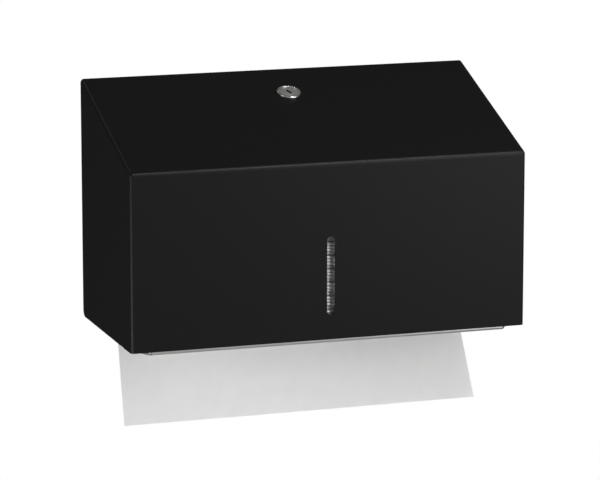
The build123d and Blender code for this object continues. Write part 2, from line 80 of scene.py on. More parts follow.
def add(tree, kind, settings=None, links=None):
    """Adds a node; settings name its properties and sockets, links the sockets that feed it."""
    node = tree.nodes.new(kind)
    for name, value in (settings or {}).items():
        if not isinstance(name, int) and hasattr(node, name):
            setattr(node, name, value)
        else:
            node.inputs[name].default_value = value
    for name, source in (links or {}).items():
        tree.links.new(source, node.inputs[name])
    return node


def new_tree(name):
    """An empty material and its node tree."""
    material = bpy.data.materials.new(name)
    material.use_nodes = True
    material.node_tree.nodes.clear()
    return material, material.node_tree


def gloss_or_glass(tree):
    """1 for glossy and transmission rays. The Light Path's outputs come back with it."""
    path = add(tree, "ShaderNodeLightPath")
    through = add(tree, "ShaderNodeMath", {"operation": "MAXIMUM"}, {
        0: path.outputs["Is Glossy Ray"], 1: path.outputs["Is Transmission Ray"]})
    return through.outputs[0], path.outputs


floor_level = -0.9
floor_radius = 1.6
bpy.ops.object.select_all(action="DESELECT")
bpy.ops.mesh.primitive_circle_add(
    vertices=96, radius=floor_radius, fill_type="NGON", location=(0, 0, floor_level))
floor = bpy.context.object
floor.name = "floor"

# The floor adds a glow of its own, white to the camera and faint to gloss.
glow_to_camera = 0.92
glow_to_gloss = 0.03
floor_paint, tree = new_tree("matt_floor_paint")
paint = add(tree, "ShaderNodeBsdfDiffuse", {"Color": linear("#b8b8b8")})
in_gloss, path = gloss_or_glass(tree)
gloss_glow = add(tree, "ShaderNodeMath", {"operation": "MULTIPLY", 1: glow_to_gloss}, {0: in_gloss})
glow_level = add(tree, "ShaderNodeMath", {"operation": "MULTIPLY_ADD", 1: glow_to_camera}, {
    0: path["Is Camera Ray"], 2: gloss_glow.outputs[0]})
glow = add(tree, "ShaderNodeEmission", {"Color": linear("#ffffff")}, {
    "Strength": glow_level.outputs[0]})
both = add(tree, "ShaderNodeAddShader", links={0: paint.outputs[0], 1: glow.outputs[0]})
add(tree, "ShaderNodeOutputMaterial", links={"Surface": both.outputs[0]})
floor.data.materials.append(floor_paint)


def soft_lamp(name, side, height, distance, across, watts):
    """A square softbox: side and height are its bearing from the front, in degrees."""
    bearing = math.radians(side)
    rise = math.radians(height)
    away = Vector((
        math.sin(bearing) * math.cos(rise),
        -math.cos(bearing) * math.cos(rise),
        math.sin(rise),
    ))
    bpy.ops.object.select_all(action="DESELECT")
    bpy.ops.object.light_add(type="AREA", location=look_at + distance * away)
    lamp = bpy.context.object
    lamp.name = name
    lamp.rotation_euler = (-away).to_track_quat("-Z", "Y").to_euler()
    lamp.data.shape = "SQUARE"
    lamp.data.size = across
    lamp.data.energy = watts


# Three lamps stand in front on the right, two on the left, and three behind.
soft_lamp("key_softbox", side=36, height=9, distance=0.72, across=0.38, watts=2.25)
soft_lamp("near_softbox", side=32, height=38, distance=0.9, across=0.3, watts=1.15)
soft_lamp("top_softbox", side=34, height=58, distance=1.4, across=0.4, watts=7.4)
soft_lamp("left_softbox", side=-76, height=14, distance=1.8, across=0.5, watts=4.7)
soft_lamp("low_softbox", side=-62, height=-25, distance=1.0, across=0.5, watts=6.95)
soft_lamp("slope_softbox", side=-150, height=50, distance=1.0, across=0.4, watts=0.33)
soft_lamp("back_softbox", side=152, height=49, distance=1.8, across=0.5, watts=0.12)
soft_lamp("rear_softbox", side=165, height=-5, distance=1.8, across=0.4, watts=8)

# The surround is white to the camera. Gloss sees it fade from straight ahead to just past the
# sides, by the Y of its direction, and everything else gets an even light.
fall_light = 0.095
gloss_front = 0.55
gloss_back = 0.07
straight_ahead = -1.0
past_the_sides = 0.2
surround = bpy.data.worlds.new("studio_surround")
bpy.context.scene.world = surround
surround.use_nodes = True
tree = surround.node_tree
tree.nodes.clear()
in_gloss, path = gloss_or_glass(tree)
direction = add(tree, "ShaderNodeTexCoord")
axes = add(tree, "ShaderNodeSeparateXYZ", links={0: direction.outputs["Generated"]})
gloss_level = add(tree, "ShaderNodeMapRange", {
    "From Min": straight_ahead, "From Max": past_the_sides,
    "To Min": gloss_front, "To Max": gloss_back}, {"Value": axes.outputs["Y"]})
level = add(tree, "ShaderNodeMix", {"data_type": "FLOAT", 2: fall_light}, {
    0: in_gloss, 3: gloss_level.outputs["Result"]})
other = add(tree, "ShaderNodeBackground", {"Color": linear("#ffffff")}, {
    "Strength": level.outputs[0]})
white = add(tree, "ShaderNodeBackground", {"Color": linear("#ffffff"), "Strength": 1.0})
seen = add(tree, "ShaderNodeMixShader", links={
    0: path["Is Camera Ray"], 1: other.outputs[0], 2: white.outputs[0]})
add(tree, "ShaderNodeOutputWorld", links={"Surface": seen.outputs[0]})


# ---------------------------------------------------------------- back plate
# Pressed pan of 1.2 mm hot-dip zinc-coated steel, screwed to the wall.
# The zinc freezes in flowers a centimetre across, each a slightly different grey.
mm = 0.001


def coat_node(name, material):
    """Gives a CAD node a finish."""
    for slot in nodes[name].material_slots:
        slot.material = material


flower = 11 * mm
flower_edge = 3 * mm        # how far a flower's ragged edge wanders
frost_grain = 0.4 * mm
spangled_zinc, tree = new_tree("hot_dip_zinc_coated_steel_spangled")
place = add(tree, "ShaderNodeTexCoord").outputs["Object"]
ragged = add(tree, "ShaderNodeTexNoise", {"Scale": 1 / flower_edge, "Detail": 2.0},
             {"Vector": place})
shift = add(tree, "ShaderNodeVectorMath", {"operation": "SCALE", "Scale": flower_edge},
            {0: ragged.outputs["Color"]})
wander = add(tree, "ShaderNodeVectorMath", {"operation": "ADD"}, {0: place, 1: shift.outputs[0]})
flowers = add(tree, "ShaderNodeTexVoronoi", {"Scale": 1 / flower}, {"Vector": wander.outputs[0]})
tint = add(tree, "ShaderNodeSeparateColor", links={0: flowers.outputs["Color"]})
frost = add(tree, "ShaderNodeTexNoise", {"Scale": 1 / frost_grain, "Detail": 2.0},
            {"Vector": place})
# In a colour mix, input 0 is the share, 6 and 7 are the two colours, and output 2 is the result.
zinc_grey = add(tree, "ShaderNodeMix", {
    "data_type": "RGBA", 6: linear("#9aa0a3"), 7: linear("#bcc1c3")}, {0: tint.outputs["Red"]})
zinc_roughness = add(tree, "ShaderNodeMapRange", {"To Min": 0.32, "To Max": 0.46},
                     {"Value": tint.outputs["Green"]})
zinc_bump = add(tree, "ShaderNodeBump", {"Strength": 1.0, "Distance": 0.004 * mm},
                {"Height": frost.outputs["Fac"]})
shader = add(tree, "ShaderNodeBsdfPrincipled", {"Metallic": 1.0}, {
    "Base Color": zinc_grey.outputs[2],
    "Roughness": zinc_roughness.outputs["Result"],
    "Normal": zinc_bump.outputs[0],
})
add(tree, "ShaderNodeOutputMaterial", links={"Surface": shader.outputs[0]})
coat_node("back_plate", spangled_zinc)


# ---------------------------------------------------------------- towel tray and its rivets
# The tray is 0.9 mm stainless sheet, brushed along its length before it was folded.
# Four steel rivets hold its cheeks to the back plate.
brush_length = 40 * mm
brush_width = 0.25 * mm
smear = 35 * mm
line_share = 0.6
# Brushing draws fine lines along the sheet, and they spread a highlight across them.
brushed_stainless, tree = new_tree("stainless_steel_304_brushed")
place = add(tree, "ShaderNodeTexCoord").outputs["Object"]
along = add(tree, "ShaderNodeMapping", {
    "Scale": (1 / brush_length, 1 / brush_width, 1 / brush_width)}, {"Vector": place})
lines = add(tree, "ShaderNodeTexNoise", {"Scale": 1.0, "Detail": 4.0, "Roughness": 0.6},
            {"Vector": along.outputs[0]})
smears = add(tree, "ShaderNodeTexNoise", {"Scale": 1 / smear, "Detail": 2.0}, {"Vector": place})
grain = add(tree, "ShaderNodeMath", {"operation": "MULTIPLY_ADD", 1: line_share}, {
    0: lines.outputs["Fac"], 2: smears.outputs["Fac"]})
# The lip's cut corners are deburred on a belt, which leaves them duller. Their greyer colour is
# painted shade that dims a lamp's glint there.
tray_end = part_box("towel_tray")[1].x
corner_cut = 6.5 * mm
corner_blend = 0.8 * mm
belt_roughness = 0.1
sideways = add(tree, "ShaderNodeSeparateXYZ", links={0: place})
off_middle = add(tree, "ShaderNodeMath", {"operation": "ABSOLUTE"}, {0: sideways.outputs["X"]})
dull_and_shaded_corner = add(tree, "ShaderNodeMapRange", {
    "From Min": tray_end - corner_cut, "From Max": tray_end - corner_cut + corner_blend},
    {"Value": off_middle.outputs[0]})
brushed_roughness = add(tree, "ShaderNodeMapRange", {"To Min": 0.20, "To Max": 0.36},
                        {"Value": grain.outputs[0]})
dulled = add(tree, "ShaderNodeMath", {"operation": "MULTIPLY_ADD", 1: belt_roughness}, {
    0: dull_and_shaded_corner.outputs["Result"], 2: brushed_roughness.outputs["Result"]})
bright = add(tree, "ShaderNodeMix", {
    "data_type": "RGBA", 6: linear("#c6c5c4"), 7: linear("#dcdbda")}, {0: lines.outputs["Fac"]})
# The cut corners' colour is darkened as painted shade, to dim a lamp's glint on them.
tray_colour = add(tree, "ShaderNodeMix", {"data_type": "RGBA", 7: linear("#858483")}, {
    0: dull_and_shaded_corner.outputs["Result"], 6: bright.outputs[2]})
brush_bump = add(tree, "ShaderNodeBump", {"Strength": 1.0, "Distance": 0.003 * mm},
                 {"Height": lines.outputs["Fac"]})
shader = add(tree, "ShaderNodeBsdfPrincipled", {"Metallic": 1.0}, {
    "Base Color": tray_colour.outputs[2],
    "Roughness": dulled.outputs[0],
    "Normal": brush_bump.outputs[0],
})
add(tree, "ShaderNodeOutputMaterial", links={"Surface": shader.outputs[0]})
coat_node("towel_tray", brushed_stainless)

# The rivets' upset heads are dimpled by the tool, so they glint in small patches.
dimple = 0.7 * mm
upset_steel, tree = new_tree("mild_steel_rivet_upset")
place = add(tree, "ShaderNodeTexCoord").outputs["Object"]
hammer = add(tree, "ShaderNodeTexNoise", {"Scale": 1 / dimple, "Detail": 2.0}, {"Vector": place})
rivet_colour = add(tree, "ShaderNodeMix", {
    "data_type": "RGBA", 6: linear("#8f8f8e"), 7: linear("#b6b6b4")}, {0: hammer.outputs["Fac"]})
rivet_roughness = add(tree, "ShaderNodeMapRange", {"To Min": 0.3, "To Max": 0.5},
                      {"Value": hammer.outputs["Fac"]})
rivet_bump = add(tree, "ShaderNodeBump", {"Strength": 1.0, "Distance": 0.02 * mm},
                 {"Height": hammer.outputs["Fac"]})
shader = add(tree, "ShaderNodeBsdfPrincipled", {"Metallic": 1.0}, {
    "Base Color": rivet_colour.outputs[2],
    "Roughness": rivet_roughness.outputs["Result"],
    "Normal": rivet_bump.outputs[0],
})
add(tree, "ShaderNodeOutputMaterial", links={"Surface": shader.outputs[0]})
coat_node("tray_rivets", upset_steel)
coat_node("keeper_rivets", upset_steel)


# ---------------------------------------------------------------- hinge bushes
# Flanged bushes moulded in natural nylon, pressed into the back plate's sides.
# Nylon is a warm, slightly waxy white that lets a little light in.
spark_grain = 0.25 * mm
cloud = 4 * mm
natural_nylon, tree = new_tree("nylon_66_natural_moulded")
place = add(tree, "ShaderNodeTexCoord").outputs["Object"]
spark = add(tree, "ShaderNodeTexNoise", {"Scale": 1 / spark_grain, "Detail": 2.0},
            {"Vector": place})
clouds = add(tree, "ShaderNodeTexNoise", {"Scale": 1 / cloud}, {"Vector": place})
nylon_white = add(tree, "ShaderNodeMix", {
    "data_type": "RGBA", 6: linear("#dcd7c8"), 7: linear("#e9e5d9")}, {0: clouds.outputs["Fac"]})
nylon_roughness = add(tree, "ShaderNodeMapRange", {"To Min": 0.38, "To Max": 0.5},
                      {"Value": spark.outputs["Fac"]})
nylon_bump = add(tree, "ShaderNodeBump", {"Strength": 1.0, "Distance": 0.01 * mm},
                 {"Height": spark.outputs["Fac"]})
shader = add(tree, "ShaderNodeBsdfPrincipled", {
    "IOR": 1.53, "Subsurface Weight": 0.2, "Subsurface Scale": 1 * mm}, {
    "Base Color": nylon_white.outputs[2],
    "Roughness": nylon_roughness.outputs["Result"],
    "Normal": nylon_bump.outputs[0],
})
add(tree, "ShaderNodeOutputMaterial", links={"Surface": shader.outputs[0]})
coat_node("hinge_bush_left", natural_nylon)
coat_node("hinge_bush_right", natural_nylon)


# ---------------------------------------------------------------- cover stops
# Two discs punched from black nitrile rubber sheet and glued to the tray's lip.
# Rubber is matt, and a faint grey bloom sits on it.
bloom_patch = 2.5 * mm
skin_grain = 0.3 * mm
nitrile, tree = new_tree("nitrile_rubber_sheet_punched")
place = add(tree, "ShaderNodeTexCoord").outputs["Object"]
bloom = add(tree, "ShaderNodeTexNoise", {"Scale": 1 / bloom_patch, "Detail": 4.0},
            {"Vector": place})
skin = add(tree, "ShaderNodeTexNoise", {"Scale": 1 / skin_grain, "Detail": 2.0},
           {"Vector": place})
rubber_black = add(tree, "ShaderNodeMix", {
    "data_type": "RGBA", 6: linear("#161617"), 7: linear("#262626")}, {0: bloom.outputs["Fac"]})
rubber_roughness = add(tree, "ShaderNodeMapRange", {"To Min": 0.7, "To Max": 0.9},
                       {"Value": bloom.outputs["Fac"]})
rubber_bump = add(tree, "ShaderNodeBump", {"Strength": 1.0, "Distance": 0.02 * mm},
                  {"Height": skin.outputs["Fac"]})
shader = add(tree, "ShaderNodeBsdfPrincipled", {"IOR": 1.52, "Specular IOR Level": 0.4}, {
    "Base Color": rubber_black.outputs[2],
    "Roughness": rubber_roughness.outputs["Result"],
    "Normal": rubber_bump.outputs[0],
})
add(tree, "ShaderNodeOutputMaterial", links={"Surface": shader.outputs[0]})
coat_node("cover_stops", nitrile)


# ---------------------------------------------------------------- lock keeper
# Strip of 1.5 mm steel, bent, then bright zinc plated and clear passivated.
# The passivation gives the zinc a faint blue cast that turns yellow in places.
cast_patch = 6 * mm
plate_grain = 0.5 * mm
bright_zinc, tree = new_tree("steel_bright_zinc_plated")
place = add(tree, "ShaderNodeTexCoord").outputs["Object"]
cast = add(tree, "ShaderNodeTexNoise", {"Scale": 1 / cast_patch, "Detail": 2.0},
           {"Vector": place})
micro = add(tree, "ShaderNodeTexNoise", {"Scale": 1 / plate_grain, "Detail": 3.0},
            {"Vector": place})
plate_colour = add(tree, "ShaderNodeMix", {
    "data_type": "RGBA", 6: linear("#a9b3bb"), 7: linear("#bdb9aa")}, {0: cast.outputs["Fac"]})
plate_roughness = add(tree, "ShaderNodeMapRange", {"To Min": 0.2, "To Max": 0.36},
                      {"Value": micro.outputs["Fac"]})
plate_bump = add(tree, "ShaderNodeBump", {"Strength": 1.0, "Distance": 0.006 * mm},
                 {"Height": micro.outputs["Fac"]})
shader = add(tree, "ShaderNodeBsdfPrincipled", {"Metallic": 1.0}, {
    "Base Color": plate_colour.outputs[2],
    "Roughness": plate_roughness.outputs["Result"],
    "Normal": plate_bump.outputs[0],
})
add(tree, "ShaderNodeOutputMaterial", links={"Surface": shader.outputs[0]})
coat_node("lock_keeper", bright_zinc)


# ---------------------------------------------------------------- cover
# Folded and welded 1 mm steel sheet, shot with black polyester powder and baked.
# It is one shell, open below and behind, and its bends are smooth and round.
hair = 0.01 * mm        # two levels closer than this are the same one
square_on = 0.9         # a direction with this much of an axis in it points along that axis


def only(test, kind="FACE"):
    """In edit mode, selects the mesh's faces, edges or vertices whose middle passes test."""
    bpy.ops.mesh.select_mode(type=kind)
    bpy.ops.mesh.select_all(action="DESELECT")
    bpy.ops.object.mode_set(mode="OBJECT")
    mesh = bpy.context.object.data
    if kind == "FACE":
        for face in mesh.polygons:
            face.select = test(face.center, face.normal)
    elif kind == "EDGE":
        for edge in mesh.edges:
            ends = [mesh.vertices[i].co for i in edge.vertices]
            edge.select = test((ends[0] + ends[1]) / 2, (ends[1] - ends[0]).normalized())
    else:
        for vertex in mesh.vertices:
            vertex.select = test(vertex.co, vertex.normal)
    bpy.ops.object.mode_set(mode="EDIT")


def finish_with(kind, **settings):
    """Adds a modifier to the active object and applies it."""
    modifier = bpy.context.object.modifiers.new(kind.lower(), kind)
    for name, value in settings.items():
        setattr(modifier, name, value)
    bpy.ops.object.modifier_apply(modifier=modifier.name)


def place_in_mesh():
    """Moves the active object's place, turn and size into its mesh."""
    bpy.ops.object.transform_apply(location=True, rotation=True, scale=True)


def take_up(thing):
    """Makes one object the only selected one, and active."""
    bpy.ops.object.select_all(action="DESELECT")
    thing.select_set(True)
    bpy.context.view_layer.objects.active = thing


cover_low, cover_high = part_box("cover_shell")
sheet = 1.0 * mm
outer_bend = 2.5 * mm
heel = 5.0 * mm
bend_steps = 8
front_height = 122.0 * mm
slope_rise = 46.0 / 125.0   # the slope climbs 46 mm over the case's depth
slope_top = 83.0 * mm       # and would reach the wall this high
window_radius = 2.75 * mm
window_length = 54.0 * mm
window_foot = 17.3 * mm
lock_up = math.atan(slope_rise)
lock_from_wall = 33.0 * mm
lock_seat = Vector((0, -lock_from_wall, slope_top - lock_from_wall * slope_rise))
lock_hole = 6.15 * mm
cutter_length = 6 * sheet

bpy.ops.object.select_all(action="DESELECT")
bpy.ops.mesh.primitive_cube_add(
    size=1, location=(cover_low + cover_high) / 2, scale=cover_high - cover_low)
cover = bpy.context.object
cover.name = "cover"
place_in_mesh()
bpy.ops.object.mode_set(mode="EDIT")
only(lambda middle, along: middle.z > cover_high.z - mm and middle.y < cover_low.y + mm, "EDGE")
bpy.ops.transform.translate(value=(0, 0, cover_low.z + front_height - cover_high.z))
only(lambda middle, facing: facing.z < -square_on or facing.y > square_on)
bpy.ops.mesh.delete(type="FACE")
only(lambda middle, along: (
    abs(along.z) > square_on and middle.y < cover_low.y + mm
    or abs(along.x) > square_on and middle.y < cover_low.y + mm and middle.z > cover_low.z + mm
    or abs(along.y) > square_on and middle.z > 0), "EDGE")
bpy.ops.mesh.bevel(offset=outer_bend, offset_type="OFFSET", segments=bend_steps, affect="EDGES")
only(lambda corner, facing: (
    corner.y > cover_high.y - hair and corner.z < cover_low.z + hair), "VERT")
bpy.ops.mesh.bevel(offset=heel, segments=bend_steps, affect="VERTICES")
bpy.ops.object.mode_set(mode="OBJECT")
finish_with("SOLIDIFY", thickness=sheet, offset=-1.0, use_even_offset=True)

# The viewing window is a slot with round ends, cut through the front.
bpy.ops.object.select_all(action="DESELECT")
window_middle = Vector((0, cover_low.y, cover_low.z + window_foot + window_radius))
bpy.ops.mesh.primitive_cylinder_add(
    vertices=48, radius=window_radius, depth=cutter_length, location=window_middle,
    rotation=(math.pi / 2, 0, 0))
slot_cutter = bpy.context.object
place_in_mesh()
bpy.ops.object.mode_set(mode="EDIT")
only(lambda corner, facing: corner.z > window_middle.z - hair, "VERT")
bpy.ops.transform.translate(value=(0, 0, window_length - 2 * window_radius))
bpy.ops.object.mode_set(mode="OBJECT")

# The lock's hole is square to the slope.
bpy.ops.object.select_all(action="DESELECT")
bpy.ops.mesh.primitive_cylinder_add(
    vertices=64, radius=lock_hole, depth=cutter_length, location=lock_seat,
    rotation=(lock_up, 0, 0))
hole_cutter = bpy.context.object
place_in_mesh()

take_up(cover)
for cutter in (slot_cutter, hole_cutter):
    finish_with("BOOLEAN", operation="DIFFERENCE", solver="EXACT", object=cutter)
    bpy.data.objects.remove(cutter)

# The powder rounds every cut edge.
coat_round = 0.18 * mm
finish_with("BEVEL", width=coat_round, segments=2, limit_method="ANGLE",
            angle_limit=math.radians(50))
bpy.ops.object.shade_smooth_by_angle(angle=math.radians(40))
finish_with("WEIGHTED_NORMAL", keep_sharp=True, weight=100)

# The bends are handled most, and their colour also carries a painted highlight. Each point says how
# far its surface is turned from the flats.
fully_turned = math.radians(30)
flats = [Vector((0, 1, 0)), Vector((1, 0, 0)), Vector((0, -math.sin(lock_up), math.cos(lock_up)))]
turned = cover.data.attributes.new("turned_from_flat", "FLOAT", "POINT")
for vertex in cover.data.vertices:
    nearest = max(abs(vertex.normal.dot(flat)) for flat in flats)
    turned.data[vertex.index].value = min(1.0, math.acos(min(1.0, nearest)) / fully_turned)

black_powder, tree = new_tree("black_polyester_powder_coat_baked")
place = add(tree, "ShaderNodeTexCoord").outputs["Object"]
# Cured powder keeps a fine orange peel, about 1.2 mm from crest to crest.
peel_crest = 1.2 * mm
peel = add(tree, "ShaderNodeTexNoise",
           {"Scale": 1 / peel_crest, "Detail": 3.0, "Roughness": 0.55}, {"Vector": place})
# Handling leaves hand-sized patches that are a little smoother.
hand_patch = 60 * mm
patches = add(tree, "ShaderNodeTexNoise", {"Scale": 1 / hand_patch, "Detail": 2.0},
              {"Vector": place})
# On the bends the powder is thinner and rubbed, so it is smoother there, in streaks; it is also
# greyer there, partly from wear and partly as a painted highlight.
rub_streak = 9 * mm
rub_smoothing = -0.22
bend = add(tree, "ShaderNodeAttribute", {"attribute_name": "turned_from_flat"})
streaks = add(tree, "ShaderNodeTexNoise", {"Scale": 1 / rub_streak, "Detail": 4.0},
              {"Vector": place})
rub = add(tree, "ShaderNodeMapRange", {"To Min": 0.3, "To Max": 1.0},
          {"Value": streaks.outputs["Fac"]})
rubbed_and_highlighted = add(tree, "ShaderNodeMath", {"operation": "MULTIPLY"}, {
    0: bend.outputs["Fac"], 1: rub.outputs["Result"]})
powder_roughness = add(tree, "ShaderNodeMapRange", {"To Min": 0.50, "To Max": 0.56},
                       {"Value": patches.outputs["Fac"]})
smoother = add(tree, "ShaderNodeMath", {"operation": "MULTIPLY_ADD", 1: rub_smoothing}, {
    0: rubbed_and_highlighted.outputs[0], 2: powder_roughness.outputs["Result"]})
# Greyer on the bends: partly wear, partly a painted highlight along them.
powder_black = add(tree, "ShaderNodeMix", {
    "data_type": "RGBA", 6: linear("#0e0e0e"), 7: linear("#161616")}, {0: rubbed_and_highlighted.outputs[0]})
peel_bump = add(tree, "ShaderNodeBump", {"Strength": 1.0, "Distance": 0.0025 * mm},
                {"Height": peel.outputs["Fac"]})
shader = add(tree, "ShaderNodeBsdfPrincipled", {"IOR": 1.5, "Specular IOR Level": 0.14}, {
    "Base Color": powder_black.outputs[2],
    "Roughness": smoother.outputs[0],
    "Normal": peel_bump.outputs[0],
})
add(tree, "ShaderNodeOutputMaterial", links={"Surface": shader.outputs[0]})
cover.data.materials.append(black_powder)
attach(cover, "cover")
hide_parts("cover_shell")


# ---------------------------------------------------------------- hinge pins
# Shouldered pins turned from mild steel bar and welded inside the cover's sides.
# The tool leaves fine rings round them, 0.3 mm apart.
feed = 0.3 * mm
wave_repeat = 0.314         # metres from band to band in a wave texture of scale 1
oil_patch = 5 * mm
turned_steel, tree = new_tree("mild_steel_turned")
place = add(tree, "ShaderNodeTexCoord").outputs["Object"]
rings = add(tree, "ShaderNodeTexWave", {
    "wave_type": "BANDS", "bands_direction": "X", "Scale": wave_repeat / feed,
    "Distortion": 0.3}, {"Vector": place})
oil = add(tree, "ShaderNodeTexNoise", {"Scale": 1 / oil_patch, "Detail": 2.0}, {"Vector": place})
pin_colour = add(tree, "ShaderNodeMix", {
    "data_type": "RGBA", 6: linear("#8d8b87"), 7: linear("#aaa8a5")}, {0: oil.outputs["Fac"]})
pin_roughness = add(tree, "ShaderNodeMapRange", {"To Min": 0.26, "To Max": 0.4},
                    {"Value": oil.outputs["Fac"]})
ring_bump = add(tree, "ShaderNodeBump", {"Strength": 1.0, "Distance": 0.008 * mm},
                {"Height": rings.outputs["Fac"]})
shader = add(tree, "ShaderNodeBsdfPrincipled", {"Metallic": 1.0}, {
    "Base Color": pin_colour.outputs[2],
    "Roughness": pin_roughness.outputs["Result"],
    "Normal": ring_bump.outputs[0],
})
add(tree, "ShaderNodeOutputMaterial", links={"Surface": shader.outputs[0]})
coat_node("hinge_pin_left", turned_steel)
coat_node("hinge_pin_right", turned_steel)


# ---------------------------------------------------------------- lock housing
# Zinc die-cast housing of a quarter-turn cam lock, its rim polished, bright nickel plated.
# It goes through the slope, with two flats against turning and a thread for the nut.
head_radius = 8.5 * mm
head_height = 1.2 * mm
rim_width = 1.4 * mm
rim_round = 0.6 * mm
rim_inner_round = 0.25 * mm
recess_floor = 0.4 * mm
bore = 4.55 * mm
body_radius = 6.0 * mm
body_length = 14.0 * mm
across_flats = 10.5 * mm
thread_pitch = 1.0 * mm
thread_root = 0.93          # of the crest's radius
stop_notch_depth = 1.3 * mm
stop_notch_start = math.radians(29)
stop_notch_arc = math.radians(122)
stop_notch_width = 4 * mm
stop_notch_middle = bore + 1.9 * mm
rim_slack = 0.1 * mm        # an edge's middle lies this near the circle that it is part of


def press(test, thickness):
    """Insets the faces that pass test."""
    only(test)
    bpy.ops.mesh.inset(thickness=thickness, use_even_offset=True)


def sink(down):
    """Extrudes the selected faces straight down the lock's axis."""
    bpy.ops.mesh.extrude_region_move(TRANSFORM_OT_translate={"value": (0, 0, -down)})


def cut_away(piece, cutter):
    """Cuts one object out of another."""
    take_up(piece)
    finish_with("BOOLEAN", operation="DIFFERENCE", solver="EXACT", object=cutter)
    bpy.data.objects.remove(cutter)


def block(size, middle, turn=0.0):
    """A square-cornered block for cutting, on the lock's own axes."""
    bpy.ops.object.select_all(action="DESELECT")
    bpy.ops.mesh.primitive_cube_add(size=1, location=middle, rotation=(0, 0, turn), scale=size)
    place_in_mesh()
    return bpy.context.object


def seat_in_slope(piece):
    """Takes a piece made on the lock's own axes to the lock's place in the slope."""
    take_up(piece)
    bpy.ops.object.shade_smooth_by_angle(angle=math.radians(30))
    piece.location = lock_seat
    piece.rotation_euler = (lock_up, 0, 0)
    place_in_mesh()


bpy.ops.object.select_all(action="DESELECT")
bpy.ops.mesh.primitive_cylinder_add(
    vertices=96, radius=head_radius, depth=head_height, location=(0, 0, head_height / 2))
housing = bpy.context.object
housing.name = "lock_housing_polished"
place_in_mesh()
bpy.ops.object.mode_set(mode="EDIT")
press(lambda middle, facing: facing.z > square_on and abs(middle.z - head_height) < hair, rim_width)
sink(head_height - recess_floor)
bpy.ops.mesh.inset(thickness=head_radius - rim_width - bore, use_even_offset=True)
sink(recess_floor + body_length)
bpy.ops.mesh.delete(type="FACE")
press(lambda middle, facing: facing.z < -square_on and abs(middle.z) < hair,
      head_radius - body_radius)
for half_turn in range(round(2 * body_length / thread_pitch)):
    sink(thread_pitch / 2)
    squeeze = thread_root if half_turn % 2 == 0 else 1 / thread_root
    bpy.ops.transform.resize(value=(squeeze, squeeze, 1))
bpy.ops.mesh.delete(type="FACE")
only(lambda middle, along: abs(middle.z + body_length) < hair, "EDGE")
bpy.ops.mesh.bridge_edge_loops()
only(lambda middle, along: abs(middle.z - head_height) < hair
     and middle.xy.length > head_radius - rim_slack, "EDGE")
bpy.ops.mesh.bevel(offset=rim_round, segments=6, affect="EDGES")
only(lambda middle, along: abs(middle.z - head_height) < hair
     and middle.xy.length < head_radius - rim_width + rim_slack, "EDGE")
bpy.ops.mesh.bevel(offset=rim_inner_round, segments=4, affect="EDGES")
bpy.ops.object.mode_set(mode="OBJECT")
# Each flat is cut by a block much wider than the body, from just below the head.
below_head = 0.02 * mm
for side in (-1, 1):
    flat = block((3 * body_radius, body_radius, body_length),
                 (0, side * (across_flats + body_radius) / 2, -body_length / 2 - below_head))
    cut_away(housing, flat)

# The stop's notch is a sector swept about the axis.
bpy.ops.object.select_all(action="DESELECT")
bpy.ops.mesh.primitive_plane_add(size=1, rotation=(math.pi / 2, 0, 0))
notch = bpy.context.object
notch.scale = (stop_notch_width, 2 * stop_notch_depth, 1)
notch.location = (stop_notch_middle, 0, -body_length)
place_in_mesh()
notch.rotation_euler = (0, 0, stop_notch_start)
place_in_mesh()
bpy.ops.object.mode_set(mode="EDIT")
bpy.ops.mesh.select_all(action="SELECT")
bpy.ops.mesh.spin(steps=24, angle=-stop_notch_arc, center=(0, 0, 0), axis=(0, 0, 1))
bpy.ops.mesh.select_all(action="SELECT")
bpy.ops.mesh.normals_make_consistent(inside=False)
bpy.ops.object.mode_set(mode="OBJECT")
cut_away(housing, notch)
seat_in_slope(housing)

# Polished nickel is a warm mirror. Keys and fingers dull it in spots and leave hairlines.
wear_spot = 1.5 * mm
hairline = 0.15 * mm
nickel_rim, tree = new_tree("zinc_die_casting_nickel_plated_polished")
place = add(tree, "ShaderNodeTexCoord").outputs["Object"]
wear = add(tree, "ShaderNodeTexNoise", {"Scale": 1 / wear_spot, "Detail": 4.0},
           {"Vector": place})
hairs = add(tree, "ShaderNodeTexNoise", {"Scale": 1 / hairline, "Detail": 2.0},
            {"Vector": place})
rim_colour = add(tree, "ShaderNodeMix", {
    "data_type": "RGBA", 6: linear("#c4c3c1"), 7: linear("#d6d5d3")}, {0: wear.outputs["Fac"]})
rim_roughness = add(tree, "ShaderNodeMapRange", {"To Min": 0.16, "To Max": 0.3},
                    {"Value": wear.outputs["Fac"]})
rim_bump = add(tree, "ShaderNodeBump", {"Strength": 1.0, "Distance": 0.002 * mm},
               {"Height": hairs.outputs["Fac"]})
shader = add(tree, "ShaderNodeBsdfPrincipled", {"Metallic": 1.0}, {
    "Base Color": rim_colour.outputs[2],
    "Roughness": rim_roughness.outputs["Result"],
    "Normal": rim_bump.outputs[0],
})
add(tree, "ShaderNodeOutputMaterial", links={"Surface": shader.outputs[0]})
housing.data.materials.clear()
housing.data.materials.append(nickel_rim)
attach(housing, "cover")
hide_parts("lock_housing")


# ---------------------------------------------------------------- lock plug
# Brass plug, turned in one piece with its face and nickel plated; the face is left satin.
# The tool leaves rings on the face, and the key slot goes deep into the barrel.
plug_face_radius = 7.0 * mm
plug_face_top = 0.9 * mm
plug_face_height = 0.4 * mm
plug_round = 0.12 * mm
plug_radius = 4.5 * mm
plug_square = 5.5 * mm
plug_end = 16.6 * mm
tail_root = 1 * mm          # how far the square tail reaches into the barrel
key_slot = Vector((2.0 * mm, 5.0 * mm, 9.0 * mm))
key_slot_turn = math.radians(26)
cam_screw_bore = 2.05 * mm
cam_screw_depth = 7.2 * mm

